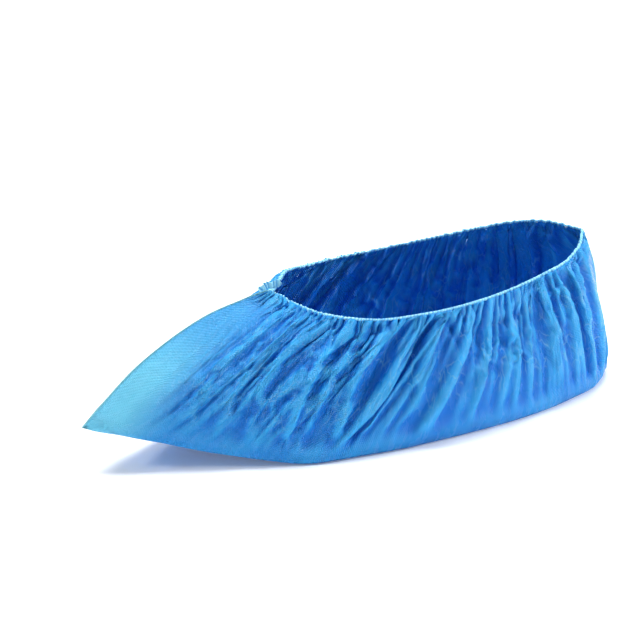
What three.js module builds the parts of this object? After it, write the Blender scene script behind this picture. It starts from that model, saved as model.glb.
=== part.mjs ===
// A disposable shoe cover of thin blue polyethylene film, in the shape that it takes over a shoe.
// The film is one sheet, folded along the middle of the sole and welded up the toe and up the heel.
// Its top edge is gathered on an elastic, whose welded ends stand up as a ruffled tab at each weld.
// Millimetres, +Z up, toe towards -Y. The origin is on the inner face of the sole, where a shoe bears.
import * as THREE from "three";

// ---------- driving sizes ----------
const WALL = 1.2; // film wall, thicker than the real 0.04 mm film
const GAP = 0.3; // between a piece and the piece that it is welded to
const BEAD_RADIUS = 1; // elastic, and the film fused round it
const INNER_RISE = 9; // the hem rides this much higher at the rear of the inner side
const INNER_BACK = 12; // and is drawn back this far at the front of the inner side
const REAR = [-60, 60]; // between these, from toe to heel, the inner side goes from drawn back to raised
const RISE_AT_TOE = 0.4; // share of the inner side's rise that it already has at the toe
const SIDES_PART = 28; // half width of the hem from where the inner side takes its whole shift
const TOP_SHARE = 0.7; // share of the hem's shift that the top line of the wall takes
const WELD_THICK = 1.2;
const WELD_TALL = 1.5;

const COLUMNS = 85; // on each side, from the toe weld to the heel weld: five for each section
const SOLE_ROWS = 1;
const CORNER_ROWS = 2;
const WALL_ROWS = 8;
const BEAD_SIDES = 6;
const BEAD_STEP = 2; // columns for each length of the bead

// The outer side of the film, one row for each main fold, from the toe weld to the heel weld. A fold
// runs from the keel line under the sole, round the sole's edge and up the wall to the hem. It stands
// lift out of the wall, and fades out at reach, from 0 at the hem to 1 at the floor. Heights are above
// the floor, and corner is the radius at the edge of the sole.
const SECTIONS = [
  {
    keel: [-178.5, 25.5], edge: [0, -170, 33.5], wall: [0, -144.5, 53.5],
    top: [0, -106, 72.5], hem: [0, -69, 80], corner: 2, lift: 0, reach: 1,
  },
  {
    keel: [-168, 21], edge: [10, -159, 21.5], wall: [14, -140, 41],
    top: [12, -98, 65], hem: [5, -64.5, 77.7], corner: 3, lift: 1, reach: 0.5,
  },
  {
    keel: [-150, 16], edge: [19.5, -138, 14.5], wall: [25, -121, 38],
    top: [23, -91, 60.5], hem: [12, -62.5, 76], corner: 3, lift: 1.8, reach: 0.6,
  },
  {
    keel: [-131, 10], edge: [28, -121, 9.5], wall: [34, -107, 33],
    top: [31, -82.5, 56], hem: [20, -60, 75], corner: 4, lift: 2.6, reach: 0.85,
  },
  {
    keel: [-112, 5], edge: [36, -105, 6], wall: [42.5, -92, 30],
    top: [39, -73, 53.5], hem: [29.5, -55, 73.3], corner: 4, lift: 2.4, reach: 0.75,
  },
  {
    keel: [-93, 1], edge: [44, -89, 2.5], wall: [48.5, -76, 28],
    top: [45.5, -60.5, 51], hem: [38, -47, 72], corner: 5, lift: 3, reach: 0.95,
  },
  {
    keel: [-81, 0], edge: [49.5, -79, 0.5], wall: [51.5, -66, 27],
    top: [49, -50, 50], hem: [43, -36, 70.3], corner: 6, lift: 2, reach: 0.6,
  },
  {
    keel: [-70, 0], edge: [53.5, -69, 0], wall: [54, -55, 27],
    top: [51.5, -38, 50], hem: [45.5, -24, 69], corner: 6, lift: 3.2, reach: 1,
  },
  {
    keel: [-46, 0], edge: [56.5, -46, 0], wall: [57, -33, 27],
    top: [53.5, -19, 50], hem: [46.5, -7, 68.5], corner: 6, lift: 2.4, reach: 0.8,
  },
  {
    keel: [-20, 0], edge: [59, -21, 0], wall: [58.5, -11, 27],
    top: [54, 2, 50], hem: [46, 10, 68], corner: 6, lift: 2.8, reach: 0.9,
  },
  {
    keel: [26, 0], edge: [58, 22, 0], wall: [57.5, 22, 27],
    top: [52.5, 22, 50], hem: [44.5, 25, 68], corner: 6, lift: 2.6, reach: 0.6,
  },
  {
    keel: [58, 0], edge: [55, 54, 0], wall: [54.5, 46, 27],
    top: [49.5, 38, 51], hem: [42.5, 40, 68.5], corner: 6, lift: 2.2, reach: 0.8,
  },
  {
    keel: [82, 0], edge: [50, 79, 0], wall: [50.5, 69, 27],
    top: [46, 57, 51], hem: [40, 55, 69.5], corner: 6, lift: 3, reach: 0.85,
  },
  {
    keel: [95, 0], edge: [46, 92, 0], wall: [47.5, 82, 27],
    top: [43.5, 72, 53], hem: [37, 70, 71], corner: 6, lift: 2.2, reach: 0.6,
  },
  {
    keel: [106, 0], edge: [42, 103, 0], wall: [44, 93, 28],
    top: [40, 87, 55], hem: [33, 86, 73], corner: 6, lift: 2.8, reach: 0.75,
  },
  {
    keel: [124, 0], edge: [34.5, 121, 0.5], wall: [36.5, 112, 31],
    top: [33.5, 104, 59], hem: [27.5, 102.5, 75], corner: 5, lift: 2, reach: 0.5,
  },
  {
    keel: [138, 1.5], edge: [20, 139, 4], wall: [22.5, 133, 36],
    top: [21.5, 123, 65], hem: [17, 119.5, 79], corner: 4, lift: 1, reach: 0.4,
  },
  {
    keel: [146, 2.5], edge: [0, 152.5, 9], wall: [0, 146, 34],
    top: [0, 142, 61], hem: [0, 134, 82], corner: 2, lift: 0, reach: 1,
  },
];
const FOLD_AT_HEM = 0.2; // share of a fold's lift left where the elastic holds it
const FOLD_FULL = 0.2; // share of the wall below the hem where a fold stands furthest out
const INNER_SHIFT = 0.5; // sections that the folds of the inner side are moved by

// The frills where the hem's ends are caught in the welds. base and tip are the outline, in pairs
// from one end to the other. The toe's stands up in the plane of the welds. The heel's is folded
// over, and hangs against the inner side of the heel. Waves bend them along the way given.
const TOE_TAB = [
  { base: [0, -73, 81.3], tip: [0, -74, 83.6] },
  { base: [0, -70.5, 82.2], tip: [0, -71.5, 86.4] },
  { base: [0, -68, 82.3], tip: [0, -68.6, 87.2] },
  { base: [0, -65.5, 82], tip: [0, -65.6, 86.6] },
  { base: [0, -63, 82], tip: [0, -62.6, 87] },
  { base: [0, -60.5, 82.4], tip: [0, -60, 86] },
];
const TOE_TAB_WAY = new THREE.Vector3(1, 0, 0);
const HEEL_TAB = [
  { base: [-10.6, 132.8, 72], tip: [-4.9, 136.6, 72] },
  { base: [-10.8, 132, 73.5], tip: [-4.1, 136.6, 73.5] },
  { base: [-10.5, 131.5, 75.3], tip: [-3.3, 136.4, 75.3] },
  { base: [-9.4, 131.6, 77.1], tip: [-3.2, 135.8, 77.1] },
  { base: [-8.2, 131.7, 79], tip: [-2.9, 135.3, 79] },
  { base: [-6.8, 131.9, 80.8], tip: [-2.9, 134.6, 80.8] },
  { base: [-5.8, 132.1, 82.1], tip: [-2.9, 134, 82.1] },
];
const HEEL_TAB_WAY = new THREE.Vector3(-0.535, 0.787, 0.307).normalize();
const TAB_THICK = 1.2;
const TAB_WAVE = 0.8;

// ---------- the film's surface ----------
const LINES = ["keel", "edge", "wall", "top", "hem"];

// The points of one section, on the given side: 1 is the outer side of the foot, -1 the inner.
function sectionPoints({ keel, edge, wall, top, hem }, side) {
  const rear = THREE.MathUtils.smoothstep(hem[1], ...REAR);
  const fromWeld = THREE.MathUtils.smoothstep(hem[0], 0, SIDES_PART);
  const inner = side < 0 ? fromWeld : 0;
  const rise = INNER_RISE * inner * THREE.MathUtils.lerp(RISE_AT_TOE, 1, rear);
  const back = INNER_BACK * inner * (1 - rear) ** 2;
  const at = ([x, y, z], share) => new THREE.Vector3(side * x, y + share * back, z + share * rise);
  return {
    keel: at([0, ...keel], 0),
    edge: at(edge, 0),
    wall: at(wall, 0),
    top: at(top, TOP_SHARE),
    hem: at(hem, 1),
  };
}

// The direction out of the film at a point of the net, from its neighbours along and up the film.
function outwards(net, i, line, side) {
  const row = (n) => net[THREE.MathUtils.clamp(n, 0, net.length - 1)];
  const at = (n) => net[i][LINES[THREE.MathUtils.clamp(n, 0, LINES.length - 1)]];
  const k = LINES.indexOf(line);
  const along = row(i + 1)[line].clone().sub(row(i - 1)[line]);
  const up = at(k + 1).clone().sub(at(k - 1));
  const out = along.cross(up).multiplyScalar(side);
  const inMiddlePlane = i === 0 || i === net.length - 1 || line === "keel";
  if (inMiddlePlane) out.x = 0;
  return out.normalize();
}

// The lines that run through the sections from toe to heel, moved into the bag by inset. The two
// layers meet at the welds, where the inner face lies twice as deep.
function trackLines(side, inset) {
  const net = SECTIONS.map((section) => sectionPoints(section, side));
  const track = (line) =>
    net.map((section, i) => {
      const atWeld = i === 0 || i === net.length - 1;
      const depth = atWeld ? 2 * inset : inset;
      return section[line].clone().addScaledVector(outwards(net, i, line, side), -depth);
    });
  return Object.fromEntries(LINES.map((line) => [line, new THREE.CatmullRomCurve3(track(line))]));
}

// A value of the section table at u, which runs from 0 at the toe weld to 1 at the heel weld.
function tableValue(name, u) {
  const place = u * (SECTIONS.length - 1);
  const i = Math.min(Math.floor(place), SECTIONS.length - 2);
  return THREE.MathUtils.lerp(SECTIONS[i][name], SECTIONS[i + 1][name], place - i);
}

// The points of the film at u, from the keel to the hem.
function column(lines, u, floor) {
  const at = Object.fromEntries(LINES.map((line) => [line, lines[line].getPoint(u)]));
  for (const line of ["keel", "edge"]) at[line].z = Math.max(at[line].z, floor);
  const radius = tableValue("corner", u);
  const fromEdge = (to) => {
    const reach = Math.min(radius, at.edge.distanceTo(to) / 2);
    return at.edge.clone().addScaledVector(to.clone().sub(at.edge).normalize(), reach);
  };
  const under = fromEdge(at.keel);
  const over = fromEdge(at.wall);
  const sole = new THREE.LineCurve3(at.keel, under);
  const corner = new THREE.QuadraticBezierCurve3(under, at.edge, over);
  const wall = new THREE.CatmullRomCurve3([over, at.wall, at.top, at.hem]);
  return [
    ...sole.getPoints(SOLE_ROWS),
    ...corner.getPoints(CORNER_ROWS).slice(1),
    ...wall.getSpacedPoints(WALL_ROWS).slice(1),
  ];
}

// How far the folds lift the film at u, at a drop from 0 at the hem to 1 at the floor.
function foldLift(u, drop, side) {
  const place = u * (SECTIONS.length - 1) + (side < 0 ? INNER_SHIFT : 0);
  const nearest = Math.min(Math.round(place), SECTIONS.length - 1);
  const { lift, reach } = SECTIONS[nearest];
  const crest = 0.5 + 0.5 * Math.cos(2 * Math.PI * (place - nearest));
  const start = THREE.MathUtils.smoothstep(drop, 0, FOLD_FULL);
  const end = THREE.MathUtils.smoothstep(drop, FOLD_FULL, reach);
  return lift * crest * THREE.MathUtils.lerp(FOLD_AT_HEM, 1, start) * (1 - end);
}

const FIRST_WALL_ROW = SOLE_ROWS + CORNER_ROWS;
const LAST_ROW = FIRST_WALL_ROW + WALL_ROWS;

// The points of one side of the film, column by column: at inset 0 on its outer face.
function sideGrid(side, inset) {
  const outer = trackLines(side, 0);
  const lines = trackLines(side, inset);
  const grid = [];
  for (let i = 0; i <= COLUMNS; i++) {
    const u = i / COLUMNS;
    const before = column(outer, Math.max(u - 0.5 / COLUMNS, 0), 0);
    const after = column(outer, Math.min(u + 0.5 / COLUMNS, 1), 0);
    const middle = column(outer, u, 0);
    const folded = column(lines, u, inset).map((point, j) => {
      const along = after[j].clone().sub(before[j]);
      const up = middle[Math.min(j + 1, LAST_ROW)].clone().sub(middle[Math.max(j - 1, 0)]);
      const out = along.cross(up).multiplyScalar(side).normalize();
      const drop = 1 - Math.max(0, j - FIRST_WALL_ROW) / WALL_ROWS;
      const atWeld = i === 0 || i === COLUMNS;
      return atWeld ? point : point.addScaledVector(out, foldLift(u, drop, side));
    });
    grid.push(folded);
  }
  return grid;
}

// ---------- meshes from grids ----------
// Collects faces, and merges corners that lie on each other.
class Faces {
  constructor() {
    this.positions = [];
    this.index = [];
    this.known = new Map();
  }
  corner(p) {
    const key = p.toArray().map((c) => Math.round(c * 1e4)).join();
    if (!this.known.has(key)) {
      this.known.set(key, this.positions.length / 3);
      this.positions.push(p.x, p.y, p.z);
    }
    return this.known.get(key);
  }
  triangle(a, b, c) {
    const ids = [a, b, c].map((p) => this.corner(p));
    if (new Set(ids).size === 3) this.index.push(...ids);
  }
  quad(a, b, c, d) {
    this.triangle(a, b, c);
    this.triangle(a, c, d);
  }
  grid(points, turned) {
    for (let i = 0; i + 1 < points.length; i++) {
      for (let j = 0; j + 1 < points[i].length; j++) {
        const face = [points[i][j], points[i + 1][j], points[i + 1][j + 1], points[i][j + 1]];
        this.quad(...(turned ? face.reverse() : face));
      }
    }
  }
  geometry() {
    const made = new THREE.BufferGeometry();
    made.setAttribute("position", new THREE.Float32BufferAttribute(this.positions, 3));
    made.setIndex(this.index);
    made.computeVertexNormals();
    return made;
  }
}

// A bar through rings of points. A closed bar joins its last ring to its first.
function bar(rings, closed) {
  const faces = new Faces();
  const looped = rings.map((ring) => [...ring, ring[0]]);
  if (closed) looped.push(looped[0]);
  faces.grid(looped, false);
  if (!closed) {
    const first = rings[0];
    const last = rings.at(-1);
    for (let k = 1; k + 1 < first.length; k++) {
      faces.triangle(first[0], first[k], first[k + 1]);
      faces.triangle(last[k + 1], last[k], last[0]);
    }
  }
  return faces.geometry();
}

// ---------- materials ----------
const film = new THREE.MeshStandardMaterial({ color: 0x3399e8, roughness: 0.4, metalness: 0 });
const fused = new THREE.MeshStandardMaterial({ color: 0x8ad4f2, roughness: 0.4, metalness: 0 });
const welded = new THREE.MeshStandardMaterial({ color: 0x2a86b8, roughness: 0.35, metalness: 0 });

// ---------- pieces ----------
function filmBody() {
  const faces = new Faces();
  for (const side of [1, -1]) {
    const outer = sideGrid(side, 0);
    const inner = sideGrid(side, WALL);
    const rim = outer.map((points, i) => [points[LAST_ROW], inner[i][LAST_ROW]]);
    faces.grid(outer, side < 0);
    faces.grid(inner, side > 0);
    faces.grid(rim, side < 0);
  }
  return faces.geometry();
}

// The fused bead along the hem, a gap above the film's edge and in line with its wall.
function hemBead() {
  const rings = [];
  for (const side of [1, -1]) {
    const outer = sideGrid(side, 0);
    const inner = sideGrid(side, WALL);
    const here = [];
    for (let i = 0; i <= COLUMNS; i += i + BEAD_STEP > COLUMNS ? 1 : BEAD_STEP) {
      const middle = (row) => outer[i][row].clone().add(inner[i][row]).multiplyScalar(0.5);
      const edge = middle(LAST_ROW);
      const up = edge.clone().sub(middle(LAST_ROW - 1)).normalize();
      const out = outer[i][LAST_ROW].clone().sub(inner[i][LAST_ROW]).normalize();
      const centre = edge.addScaledVector(up, BEAD_RADIUS + GAP);
      const ring = [];
      for (let k = 0; k < BEAD_SIDES; k++) {
        const turn = (2 * Math.PI * k) / BEAD_SIDES;
        const x = out.clone().multiplyScalar(BEAD_RADIUS * Math.cos(turn));
        const y = up.clone().multiplyScalar(BEAD_RADIUS * Math.sin(turn));
        ring.push(x.add(y).add(centre));
      }
      here.push(ring);
    }
    rings.push(...(side > 0 ? here : here.reverse()).slice(0, -1));
  }
  return bar(rings, true);
}

// The fin of a weld, on the film's edge in the middle plane. The fin stands to the left of the edge's
// way up to the hem, seen from the outer side, where turn is 1, and to its right where turn is -1.
function weldFin(edge, turn) {
  const half = new THREE.Vector3(WELD_THICK / 2, 0, 0);
  const rings = edge.map((point, i) => {
    const along = edge[Math.min(i + 1, edge.length - 1)].clone().sub(edge[Math.max(i - 1, 0)]);
    const out = new THREE.Vector3(0, -turn * along.z, turn * along.y).normalize();
    const low = point.clone().addScaledVector(out, GAP);
    const high = low.clone().addScaledVector(out, WELD_TALL);
    return [low.clone().add(half), high.clone().add(half), high.clone().sub(half), low.clone().sub(half)];
  });
  return bar(turn > 0 ? rings : rings.reverse(), false);
}

// A ruffled tab through its table of outline pairs, with its waves and its thickness along way.
function ruffle(table, way) {
  const rings = table.map(({ base, tip }, i) => {
    const wave = TAB_WAVE * (i % 2 === 0 ? 1 : -1);
    const half = TAB_THICK / 2;
    const at = (point, shift) => new THREE.Vector3(...point).addScaledVector(way, shift);
    return [at(base, half), at(tip, wave + half), at(tip, wave - half), at(base, -half)];
  });
  return bar(rings, false);
}

// ---------- the cover ----------
const cover = new THREE.Group();
function add(name, geometry, material) {
  const mesh = new THREE.Mesh(geometry, material);
  mesh.name = name;
  cover.add(mesh);
}
add("film_body", filmBody(), film);
add("hem_bead", hemBead(), fused);
const outerSide = sideGrid(1, 0);
add("toe_weld", weldFin(outerSide[0], 1), welded);
add("heel_weld", weldFin(outerSide[COLUMNS].slice(FIRST_WALL_ROW - 1), -1), welded);
add("toe_tab", ruffle(TOE_TAB, TOE_TAB_WAY), fused);
add("heel_tab", ruffle(HEEL_TAB, HEEL_TAB_WAY), fused);
cover.position.z = -WALL;

export default cover;
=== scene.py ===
"""A disposable shoe cover of thin blue polyethylene film, as it stands when a shoe fills it.

One sheet of film is folded along the middle of the sole and welded up the toe and up the heel, and
its top edge is gathered on an elastic thread. Metres, +Z up, toe towards -Y.
"""

import math

import bmesh
import bpy
import numpy as np
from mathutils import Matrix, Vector


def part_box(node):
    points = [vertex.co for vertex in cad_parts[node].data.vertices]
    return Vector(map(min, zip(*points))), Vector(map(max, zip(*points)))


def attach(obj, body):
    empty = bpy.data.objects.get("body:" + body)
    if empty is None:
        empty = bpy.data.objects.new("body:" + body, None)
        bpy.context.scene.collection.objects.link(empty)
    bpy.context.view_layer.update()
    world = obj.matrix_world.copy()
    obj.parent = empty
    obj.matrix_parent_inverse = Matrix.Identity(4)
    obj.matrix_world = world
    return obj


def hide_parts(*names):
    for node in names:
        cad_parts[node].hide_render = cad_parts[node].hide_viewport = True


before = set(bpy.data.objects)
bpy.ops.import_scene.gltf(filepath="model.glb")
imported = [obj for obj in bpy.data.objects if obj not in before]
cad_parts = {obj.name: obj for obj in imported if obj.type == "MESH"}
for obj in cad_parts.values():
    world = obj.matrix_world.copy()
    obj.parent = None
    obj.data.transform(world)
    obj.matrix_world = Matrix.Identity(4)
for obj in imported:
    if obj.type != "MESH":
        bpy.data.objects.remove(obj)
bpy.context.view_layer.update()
MM = 0.001


# ---------- the room ----------
# A white studio floor that runs out of sight and glows more the further out it is, a broad soft light
# overhead, which leaves the near side in soft shade, weaker ones off the toe and the heel, and a dim
# white room.
FLOOR_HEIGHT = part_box("film_body")[0].z
FLOOR_HALF = 30.0
FLOOR_GLOW, GLOW_REACH = (0.1, 1.0), (0.8, 1.8)
ROOM_LIGHT = 0.27
CAMERA_AIM = Vector((0.0, 0.0, FLOOR_HEIGHT + 0.045))
CAMERA_AZIMUTH, CAMERA_ELEVATION, CAMERA_DISTANCE = 58.0, 18.5, 1.48
CAMERA_LENS, CAMERA_SENSOR = 159.1, 36.0
CAMERA_SHIFT = (-0.1121, 0.0371)


def linear(code):
    """An sRGB colour such as "FFCC00" as linear red, green, blue and 1."""
    parts = [int(code[i : i + 2], 16) / 255 for i in (0, 2, 4)]
    return (*(c / 12.92 if c < 0.04045 else ((c + 0.055) / 1.055) ** 2.4 for c in parts), 1.0)


def node(material, kind, settings=None, **links):
    """Adds a node with its settings and links. A link's key is the input's name, or i and its number,
    and its value is a number, a colour or another node's socket."""
    made = material.node_tree.nodes.new("ShaderNode" + kind)
    for name, value in (settings or {}).items():
        setattr(made, name, value)
    for key, value in links.items():
        numbered = key[0] == "i" and key[1:].isdigit()
        socket = made.inputs[int(key[1:]) if numbered else key.replace("_", " ")]
        if isinstance(value, bpy.types.NodeSocket):
            material.node_tree.links.new(value, socket)
        else:
            socket.default_value = value
    return made


def link_object(name, data):
    made = bpy.data.objects.new(name, data)
    bpy.context.scene.collection.objects.link(made)
    return made


def look_from(place, aim):
    """The turn that points a light or the camera from one place at another."""
    return (Vector(aim) - Vector(place)).to_track_quat("-Z", "Y").to_euler()


def soft_light(name, place, aim, size, watts):
    lamp = bpy.data.lights.new(name, "AREA")
    lamp.size, lamp.energy = size, watts
    made = link_object(name, lamp)
    made.location, made.rotation_euler = place, look_from(place, aim)


soft_light("overhead_light", place=(-0.25, 0.1, 1.3), aim=(0, 0, 0.03), size=0.9, watts=23)
soft_light("toe_light", place=(-0.2, -1.2, 0.9), aim=(0, 0, 0.04), size=0.25, watts=6.5)
soft_light("heel_light", place=(0.6, 1.2, 0.7), aim=(0, 0.05, 0.04), size=0.25, watts=13)

world = bpy.data.worlds.new("studio")
world.use_nodes = True
world.node_tree.nodes["Background"].inputs["Color"].default_value = linear("FFFFFF")
world.node_tree.nodes["Background"].inputs["Strength"].default_value = ROOM_LIGHT
bpy.context.scene.world = world

floor_material = bpy.data.materials.new("matt_white_paint")
floor_material.use_nodes = True
floor_shader = floor_material.node_tree.nodes["Principled BSDF"]
floor_shader.inputs["Base Color"].default_value = linear("FBFCFE")
floor_shader.inputs["Roughness"].default_value = 0.6
floor_shader.inputs["Emission Color"].default_value = linear("FFFFFF")
whole = node(floor_material, "TexCoord").outputs["Object"]
far = node(floor_material, "VectorMath", {"operation": "LENGTH"}, i0=whole).outputs["Value"]
glow = node(
    floor_material,
    "MapRange",
    Value=far,
    From_Min=GLOW_REACH[0],
    From_Max=GLOW_REACH[1],
    To_Min=FLOOR_GLOW[0],
    To_Max=FLOOR_GLOW[1],
).outputs["Result"]
floor_material.node_tree.links.new(glow, floor_shader.inputs["Emission Strength"])

shape = bmesh.new()
bmesh.ops.create_grid(shape, x_segments=1, y_segments=1, size=FLOOR_HALF)
bmesh.ops.translate(shape, verts=shape.verts, vec=(0, 0, FLOOR_HEIGHT))
floor_mesh = bpy.data.meshes.new("floor")
shape.to_mesh(floor_mesh)
shape.free()
floor_mesh.materials.append(floor_material)
link_object("floor", floor_mesh)

azimuth, elevation = math.radians(CAMERA_AZIMUTH), math.radians(CAMERA_ELEVATION)
away = Vector((math.sin(azimuth), -math.cos(azimuth), math.tan(elevation))).normalized()
camera = link_object("camera", bpy.data.cameras.new("camera"))
camera.data.sensor_width, camera.data.lens = CAMERA_SENSOR, CAMERA_LENS
camera.data.shift_x, camera.data.shift_y = CAMERA_SHIFT
camera.location = CAMERA_AIM + away * CAMERA_DISTANCE
camera.rotation_euler = look_from(camera.location, CAMERA_AIM)
bpy.context.scene.camera = camera
bpy.context.scene.view_settings.view_transform = "Standard"


# ---------- the film ----------
# One sheet of cast polyethylene film, embossed with a fine grid. It is folded along the keel line
# under the sole, so one sheet makes both sides, and its top edges are gathered to three fifths of
# their length. The spare length goes into folds that run from the hem towards the sole. The real film
# is 0.03 to 0.04 mm thick, and this one is 0.08 mm.
FILM_THICKNESS = 0.08 * MM
COLUMNS, WALL_ROWS, CORNER_ROWS, SOLE_ROWS = 360, 60, 4, 4

# The outer side, a row for each main fold from the toe weld to the heel weld, in millimetres with
# heights above the floor: the keel, the sole's edge, two lines up the wall and the hem, then the
# radius of the sole's edge and the fold's height and reach. A fold fades out at its reach, from 0 at
# the hem to 1 at the sole. The places along the film, from toe to heel, are counted in these rows.
SECTIONS = [
    ((-178.5, 25.5), (0, -170, 33.5), (0, -144.5, 53.5), (0, -106, 72.5), (0, -69, 80), 2, 0, 1),
    ((-168, 21), (10, -159, 21.5), (14, -140, 41), (12, -98, 65), (5, -64.5, 77.7), 3, 1, 0.5),
    ((-150, 16), (19.5, -138, 14.5), (25, -121, 38), (23, -91, 60.5), (12, -62.5, 76), 3, 1.8, 0.6),
    ((-131, 10), (28, -121, 9.5), (34, -107, 33), (31, -82.5, 56), (20, -60, 75), 4, 2.6, 0.85),
    ((-112, 5), (36, -105, 6), (42.5, -92, 30), (39, -73, 53.5), (29.5, -55, 73.3), 4, 2.4, 0.75),
    ((-93, 1), (44, -89, 2.5), (48.5, -76, 28), (45.5, -60.5, 51), (38, -47, 72), 5, 3, 0.95),
    ((-81, 0), (49.5, -79, 0.5), (51.5, -66, 27), (49, -50, 50), (43, -36, 70.3), 6, 2, 0.6),
    ((-70, 0), (53.5, -69, 0), (54, -55, 27), (51.5, -38, 50), (45.5, -24, 69), 6, 3.2, 1),
    ((-46, 0), (56.5, -46, 0), (57, -33, 27), (53.5, -19, 50), (46.5, -7, 68.5), 6, 2.4, 0.8),
    ((-20, 0), (59, -21, 0), (58.5, -11, 27), (54, 2, 50), (46, 10, 68), 6, 2.8, 0.9),
    ((26, 0), (58, 22, 0), (57.5, 22, 27), (52.5, 22, 50), (44.5, 25, 68), 6, 2.6, 0.6),
    ((58, 0), (55, 54, 0), (54.5, 46, 27), (49.5, 38, 51), (42.5, 40, 68.5), 6, 2.2, 0.8),
    ((82, 0), (50, 79, 0), (50.5, 69, 27), (46, 57, 51), (40, 55, 69.5), 6, 3, 0.85),
    ((95, 0), (46, 92, 0), (47.5, 82, 27), (43.5, 72, 53), (37, 70, 71), 6, 2.2, 0.6),
    ((106, 0), (42, 103, 0), (44, 93, 28), (40, 87, 55), (33, 86, 73), 6, 2.8, 0.75),
    ((124, 0), (34.5, 121, 0.5), (36.5, 112, 31), (33.5, 104, 59), (27.5, 102.5, 75), 5, 2, 0.5),
    ((138, 1.5), (20, 139, 4), (22.5, 133, 36), (21.5, 123, 65), (17, 119.5, 79), 4, 1, 0.4),
    ((146, 2.5), (0, 152.5, 9), (0, 146, 34), (0, 142, 61), (0, 134, 82), 2, 0, 1),
]
LINES = 5  # the keel, the edge, two lines up the wall and the hem
RADIUS, HEIGHT, REACH = 5, 6, 7  # where the rest stands in a row

# The inner side's hem is higher, and further back at the toe, by these many millimetres. It leaves
# the outer side's form at the widths of the hem in SIDES_PART, and rises fully over HEEL_PART.
INNER_RISE, INNER_BACK = 9, 12
RISE_AT_TOE, TOP_SHARE = 0.4, 0.7
SIDES_PART, HEEL_PART = (0, 28), (-60, 60)


def smooth_path(points, where):
    """Points of a centripetal Catmull-Rom curve through points, at where from 0 to 1 along it."""
    last = len(points) - 1
    place = last * np.asarray(where, float)
    i = np.minimum(np.floor(place).astype(int), last - 1)
    w = (place - i)[:, None]
    before = np.where((i == 0)[:, None], 2 * points[0] - points[1], points[np.maximum(i - 1, 0)])
    beyond = 2 * points[last] - points[last - 1]
    after = np.where((i == last - 1)[:, None], beyond, points[np.minimum(i + 2, last)])
    run = [before, points[i], points[i + 1], after]
    a, b, c = (np.maximum(((q - p) ** 2).sum(1), 1e-12)[:, None] ** 0.25 for p, q in zip(run, run[1:]))
    start = ((run[1] - before) / a - (run[2] - before) / (a + b) + (run[2] - run[1]) / b) * b
    end = ((run[2] - run[1]) / b - (after - run[1]) / (b + c) + (after - run[2]) / c) * b
    return (
        run[1]
        + start * w
        + (3 * (run[2] - run[1]) - 2 * start - end) * w**2
        + (2 * (run[1] - run[2]) + start + end) * w**3
    )


def fade(value, start, end):
    """0 before start, 1 after end, and a smooth step between them."""
    t = np.clip((value - start) / (end - start), 0, 1)
    return t * t * (3 - 2 * t)


def section_points(section, side):
    """A section's five points on one side: 1 is the outer side of the foot, -1 the inner."""
    keel, edge, wall, top, hem = section[:LINES]
    rear = fade(hem[1], *HEEL_PART)
    inner = fade(hem[0], *SIDES_PART) if side < 0 else 0
    rise = INNER_RISE * inner * (RISE_AT_TOE + (1 - RISE_AT_TOE) * rear)
    back = INNER_BACK * inner * (1 - rear) ** 2
    shares = ((0, *keel), 0), (edge, 0), (wall, 0), (top, TOP_SHARE), (hem, 1)
    return [(side * x, y + share * back, z + share * rise) for (x, y, z), share in shares]


def table_value(where, number):
    """A value of the section table, such as RADIUS, at places along the film, as a column."""
    return np.interp(where, range(len(SECTIONS)), [section[number] for section in SECTIONS])[:, None]


along = np.linspace(0, 1, COLUMNS + 1)
place = along * (len(SECTIONS) - 1)


def side_of_film(side):
    """One side of the film without its folds: its points by column and by row, from keel to hem."""
    net = np.array([section_points(section, side) for section in SECTIONS], float) * MM
    keel, edge, wall, top, hem = (smooth_path(net[:, k], along) for k in range(LINES))
    for line in (keel, edge):
        line[:, 2] = np.maximum(line[:, 2], 0)
    radius = table_value(place, RADIUS) * MM

    def from_edge(to):
        length = np.maximum(np.linalg.norm(to - edge, axis=1, keepdims=True), 1e-9)
        return edge + (to - edge) * np.minimum(radius / length, 0.5)

    under, over = from_edge(keel), from_edge(wall)
    rows = [keel + (under - keel) * t for t in np.arange(SOLE_ROWS) / SOLE_ROWS]
    for t in np.arange(CORNER_ROWS) / CORNER_ROWS:
        rows.append(under * (1 - t) ** 2 + 2 * edge * t * (1 - t) + over * t * t)
    wall_rows = np.empty((WALL_ROWS + 1, COLUMNS + 1, 3))
    for i, run in enumerate(np.stack([over, wall, top, hem], 1)):
        fine = smooth_path(run, np.linspace(0, 1, 4 * WALL_ROWS))
        length = np.concatenate([[0], np.cumsum(np.linalg.norm(np.diff(fine, axis=0), axis=1))])
        even = np.linspace(0, length[-1], WALL_ROWS + 1)
        for axis in range(3):
            wall_rows[:, i, axis] = np.interp(even, length, fine[:, axis])
    return np.concatenate([np.stack(rows), wall_rows]).transpose(1, 0, 2)


outer, inner = side_of_film(1), side_of_film(-1)
smooth = np.concatenate([inner[:, ::-1], outer[:, 1:]], axis=1)
smooth[:, :, 2] += FLOOR_HEIGHT
ROWS = smooth.shape[1] - 1
KEEL_ROW = ROWS // 2
steps_up = np.abs(np.arange(ROWS + 1) - KEEL_ROW) - SOLE_ROWS - CORNER_ROWS
drop = np.clip(1 - steps_up / WALL_ROWS, 0, 1)[None, :]
outwards = np.cross(np.gradient(smooth, axis=0), np.gradient(smooth, axis=1))
outwards /= np.maximum(np.linalg.norm(outwards, axis=2, keepdims=True), 1e-12)


def lengths(points, axis):
    """Lengths of the steps between neighbouring points along one axis of a grid."""
    return np.linalg.norm(np.diff(points, axis=axis), axis=2)


def running(steps, axis, middle):
    """Distances along one axis of a grid, from its middle row or column."""
    total = np.insert(np.cumsum(steps, axis=axis), 0, 0, axis=axis)
    return total - np.take(total, [middle], axis=axis)


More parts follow.
